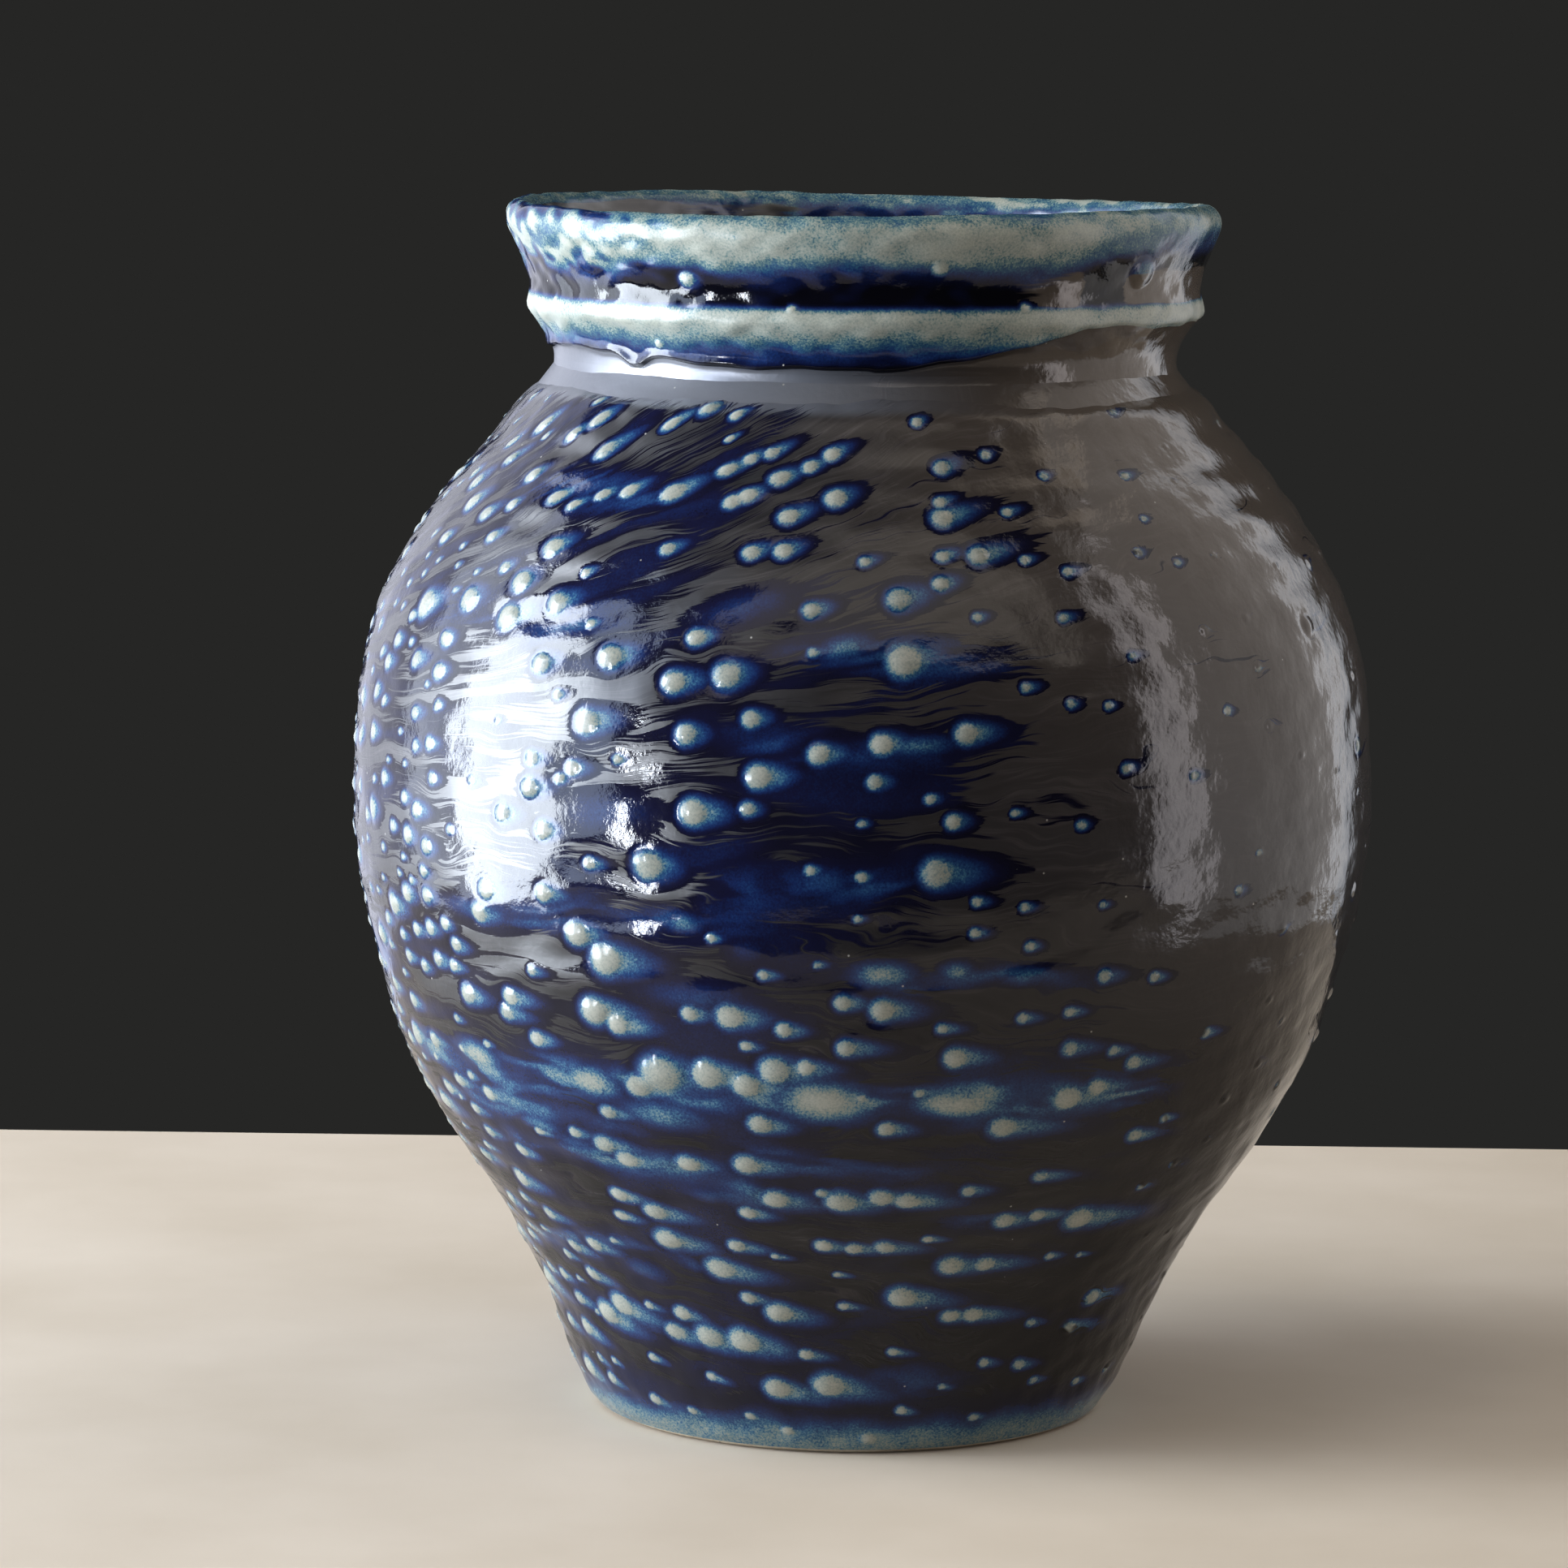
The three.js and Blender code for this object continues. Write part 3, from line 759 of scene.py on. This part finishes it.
    # A silky second gloss on the matt skin of the upper windy side, fading out downwards and to the lee.
    matt = add(tree, "Math", {0: 1.0, 1: glass}, operation="SUBTRACT").outputs[0]
    upper = add(tree, "MapRange", {"Value": rise, "From Min": 70 * MM, "From Max": 105 * MM}).outputs[0]
    sheen = add(tree, "MapRange", {"Value": run, "From Min": 115, "From Max": 185, "To Min": 0.36,
                                   "To Max": 0.0}).outputs[0]
    sheen = add(tree, "Math", {0: sheen, 1: matt}, operation="MULTIPLY").outputs[0]
    sheen = add(tree, "Math", {0: sheen, 1: upper}, operation="MULTIPLY").outputs[0]
    shader = add(tree, "BsdfPrincipled", {"Base Color": base, "Roughness": rough, "Metallic": metal,
                                          "IOR": 1.48, "Specular IOR Level": 0.3, "Normal": bump,
                                          "Coat Weight": sheen, "Coat Roughness": 0.36, "Coat IOR": 1.75})
    add(tree, "OutputMaterial", {"Surface": shader.outputs[0]})
    return material


# Cobalt glaze: black-blue where it lies thick, navy to teal at the edge of each drop, grey-green crystals.
COBALT = [(0.0, "#0e0d1a"), (0.10, "#101128"), (0.22, "#132046"), (0.36, "#1c365c"), (0.48, "#325870"),
          (0.60, "#5f7478"), (0.74, "#7d837c"), (1.0, "#94958b")]
# Gunmetal skin on the body: brown-black with paler hairs.
GUNMETAL = [(0.0, "#131214"), (0.55, "#1e1c1e"), (1.0, "#383435")]
# Celadon glaze on the collar: the same cobalt where it pools, pale grey-green where it is thin.
CELADON = [(0.0, "#06060d"), (0.12, "#0b1230"), (0.28, "#162b58"), (0.44, "#28506a"), (0.58, "#5b7676"),
           (0.72, "#8a9188"), (1.0, "#a4a69a")]
# Iron-brown skin inside, warmer than the outside's.
IRON_BROWN = [(0.0, "#2a2421"), (0.55, "#433a35"), (1.0, "#5d534b")]

cobalt_glaze = runny_glaze("Cobalt salt glaze", COBALT, GUNMETAL, 0.42, 0.045, 0.30, 0.10)
celadon_glaze = runny_glaze("Celadon collar glaze", CELADON, GUNMETAL, 0.40, 0.05, 0.27, 0.34, 0.35)
inside_glaze = runny_glaze("Iron brown liner glaze", COBALT, IRON_BROWN, 0.45, 0.07, 0.25, 0.12)


def bare_clay():
    """Grogged stoneware, turned and fired bare: matt buff, with sand grains and iron specks."""
    material, tree = empty_material("Bare stoneware")
    place = add(tree, "TexCoord").outputs["Object"]
    sand = add(tree, "TexNoise", {"Vector": place, "Scale": 1 / (0.7 * MM), "Detail": 3.0}).outputs["Fac"]
    cloud = add(tree, "TexNoise", {"Vector": place, "Scale": 1 / (14 * MM), "Detail": 2.0}).outputs["Fac"]
    mixed = add(tree, "Math", {0: sand, 1: 0.5, 2: cloud}, operation="MULTIPLY_ADD").outputs[0]
    base = add(tree, "ValToRGB", {"Fac": mixed}, [(0.4, "#8b7a66"), (0.7, "#b3a189"), (1.0, "#c9bba4")])
    cells = add(tree, "TexVoronoi", {"Vector": place, "Scale": 1 / (3 * MM)}).outputs["Distance"]
    iron = add(tree, "MapRange", {"Value": cells, "From Min": 0.09, "From Max": 0.05}).outputs[0]
    base = add(tree, "Mix", {0: iron, 6: base.outputs[0], 7: colour("#4a3527")}, data_type="RGBA").outputs[2]
    bump = add(tree, "Bump", {"Height": sand, "Strength": 0.6, "Distance": 0.15 * MM}).outputs[0]
    shader = add(tree, "BsdfPrincipled", {"Base Color": base, "Roughness": 0.85, "Normal": bump})
    add(tree, "OutputMaterial", {"Surface": shader.outputs[0]})
    return material


# ------------ pieces

# Thickness of each coat in mm, and how many rows its plain back face has.
BODY_COAT, BODY_BACK_ROWS = 1.0, 4
COLLAR_COAT, COLLAR_BACK_ROWS = 1.6, 14
LINER_COAT, LINER_BACK_ROWS = 0.8, 24

outside = body_skin()
for number, band in enumerate(BANDS):
    coat_piece("body_glaze_" + band, outside, BODY_COAT, BODY_BACK_ROWS,
               slice(number * BAND_ROWS, (number + 1) * BAND_ROWS + 1), True, cobalt_glaze,
               ["body_glaze"])
coat_piece("collar_glaze_roll", collar_skin(), COLLAR_COAT, COLLAR_BACK_ROWS, slice(0, None), True,
           celadon_glaze, ["collar_glaze"])
coat_piece("liner_glaze_inside", liner_skin(), LINER_COAT, LINER_BACK_ROWS, slice(0, None), False,
           inside_glaze, ["liner_glaze"])


CLAY_COLUMNS = 240
CLEARANCE = 0.3
# Radius and height of the underside's corners, from near the axis to the outer edge of the foot.
FOOT = [(0.4, 3.0), (10, 3.0), (20, 3.0), (30.4, 3.0), (31.5, 2.85), (32.4, 1.6), (32.9, 0.5),
        (33.4, 0.06), (34.0, 0.0), (38, 0.0), (44, 0.0), (44.9, 0.1), (45.2, 0.4)]
FOOT_ROWS = 170
TURNING_PITCH = 2.6


def clay_piece():
    """The clay wall: a turned foot with a shallow hollow, its edges eased and faint turning rings cut in it,
    then the wall's outline sunk under each coat by that coat's thickness and a small clearance."""
    azimuth = (np.arange(CLAY_COLUMNS) / CLAY_COLUMNS * TURN)[None, :]
    line = np.array(FOOT)
    run = np.append(0, np.cumsum(np.hypot(*np.diff(line, axis=0).T)))
    steps = np.linspace(0, run[-1], FOOT_ROWS)
    radius, height = [np.interp(steps, run, line[:, k])[:, None] for k in (0, 1)]
    rings = 0.10 * np.cos(TURN * radius / TURNING_PITCH) * ease(31.5, 29, radius) * ease(1, 4, radius)
    foot = placed(radius, height + rings, azimuth)
    parts = []
    for start, end, coat, count in [(0, NECK_ARC, BODY_COAT, 90), (NECK_ARC, LIP_ARC, COLLAR_COAT, 24),
                                    (LIP_ARC, FLOOR_ARC - 0.3, LINER_COAT, 110)]:
        parts.append(surface(np.linspace(start, end, count), azimuth, 0.0, coat + CLEARANCE))
    points = np.concatenate([foot] + parts)
    return make_piece("clay_wall_and_foot", points, {}, None, False, bare_clay(), ["clay_body"])


clay_piece()

# ------------ floor, light and camera

FLOOR_HALF = (0.36, 0.2575)
FLOOR_THICK = 0.03


def floor_board():
    """A plain pale board with its top at the height of the foot."""
    half_x, half_y = FLOOR_HALF
    corner = np.array([(x * half_x, y * half_y, -z * FLOOR_THICK)
                       for z in (0, 1) for y in (-1, 1) for x in (-1, 1)])
    faces = [(0, 1, 3, 2), (4, 6, 7, 5), (0, 4, 5, 1), (2, 3, 7, 6), (0, 2, 6, 4), (1, 5, 7, 3)]
    mesh = bpy.data.meshes.new("floor")
    mesh.from_pydata(corner.tolist(), [], faces)
    board = bpy.data.objects.new("floor", mesh)
    bpy.context.scene.collection.objects.link(board)
    material, tree = empty_material("Pale matt floor")
    place = add(tree, "TexCoord").outputs["Object"]
    cloud = add(tree, "TexNoise", {"Vector": place, "Scale": 14.0, "Detail": 4.0}).outputs["Fac"]
    base = add(tree, "ValToRGB", {"Fac": cloud}, [(0.3, "#bfb29f"), (0.7, "#cdc1b0")]).outputs["Color"]
    shader = add(tree, "BsdfPrincipled", {"Base Color": base, "Roughness": 0.75})
    add(tree, "OutputMaterial", {"Surface": shader.outputs[0]})
    mesh.materials.append(material)


# Each light's name, azimuth, lowest and highest elevation and half its width in degrees, distance from
# the axis in m, radiance, colour, and whether it shows in gloss. The wide bright window is on the left
# with a narrow gap beside it, and dimmer boards stand on the right.
LIGHTS = [
    ("window", -83, (-21, 31), 14, 1.2, 19.0, "#eaf4ff", True),
    ("window_side", -61.5, (-10, 38), 6.5, 1.25, 4.4, "#cfe0ff", True),
    ("window_far_side", -108, (-18, 40), 11, 1.25, 3.4, "#e6efff", True),
    ("room", -140, (-20, 40), 20, 1.3, 0.9, "#ecefff", True),
    ("window_gap", -50, (-10, 4), 1.8, 1.15, 46.0, "#eef5ff", True),
    ("reflector", 104, (-27, 58), 31, 1.2, 0.80, "#f4efec", True),
    ("reflector_near_edge", 73, (-25, 50), 6, 1.1, 2.5, "#f1edf2", True),
    ("reflector_far_edge", 134, (-30, 45), 7, 1.1, 0.85, "#e6ecf6", True),
    ("ceiling_right", 112, (55, 73), 20, 1.3, 0.9, "#fff0de", True),
    ("fill", 5, (35, 66), 45, 1.6, 0.9, "#fff6ea", True),
    ("bounce", -60, (40, 78), 35, 1.3, 2.6, "#fff4e6", False),
]
LIGHT_CENTRE = 0.11
SHINE = 1.65
SHINE_GAP = 0.02


def soft_light(name, azimuth, elevations, half_width, distance, radiance, tint, mirrored):
    """An upright rectangular light that faces the axis. Its power gives the wanted radiance. It is two
    lamps: one lights, and one a little in front of it shows only in gloss, stronger by SHINE to make up for
    the glaze's low specular level, and is left out if the light is not mirrored."""
    turn = math.radians(azimuth)
    low, high = [distance * math.tan(math.radians(e)) for e in elevations]
    width = 2 * distance * math.tan(math.radians(half_width))
    tall = high - low
    for part, gain, back in (("_glow", 1.0, SHINE_GAP), ("_shine", SHINE, 0.0))[:1 + mirrored]:
        data = bpy.data.lights.new(name + part, "AREA")
        data.shape, data.size, data.size_y = "RECTANGLE", width, tall
        data.energy = gain * radiance * math.pi * width * tall
        data.color = colour(tint)[:3]
        lamp = bpy.data.objects.new(name + part, data)
        lamp.location = ((distance + back) * math.sin(turn), -(distance + back) * math.cos(turn),
                         LIGHT_CENTRE + (low + high) / 2)
        lamp.rotation_euler = (math.radians(90), 0, turn)
        lamp.visible_camera = False
        lamp.visible_glossy = part == "_shine"
        lamp.visible_diffuse = part == "_glow"
        bpy.context.scene.collection.objects.link(lamp)


# Lens in mm, place in m, and pan, tilt and roll in degrees.
CAMERA_LENS = 141.6
CAMERA_PLACE = (0, -1.1165, 0.2559)
CAMERA_TURNS = ((0.709, "Z"), (82.75, "X"), (0.6, "Z"))


def look():
    """The camera, the lights and the dark grey surroundings."""
    for light in LIGHTS:
        soft_light(*light)
    world = bpy.data.worlds.new("dark surroundings")
    world.use_nodes = True
    world.node_tree.nodes["Background"].inputs["Color"].default_value = colour("#262625")
    bpy.context.scene.world = world
    bpy.context.scene.view_settings.view_transform = "Standard"
    data = bpy.data.cameras.new("camera")
    data.lens, data.sensor_width = CAMERA_LENS, 36
    camera = bpy.data.objects.new("camera", data)
    camera.location = CAMERA_PLACE
    pan, tilt, roll = [Matrix.Rotation(math.radians(angle), 4, axis) for angle, axis in CAMERA_TURNS]
    camera.rotation_euler = (pan @ tilt @ roll).to_euler("XYZ")
    bpy.context.scene.collection.objects.link(camera)
    bpy.context.scene.camera = camera


floor_board()
look()
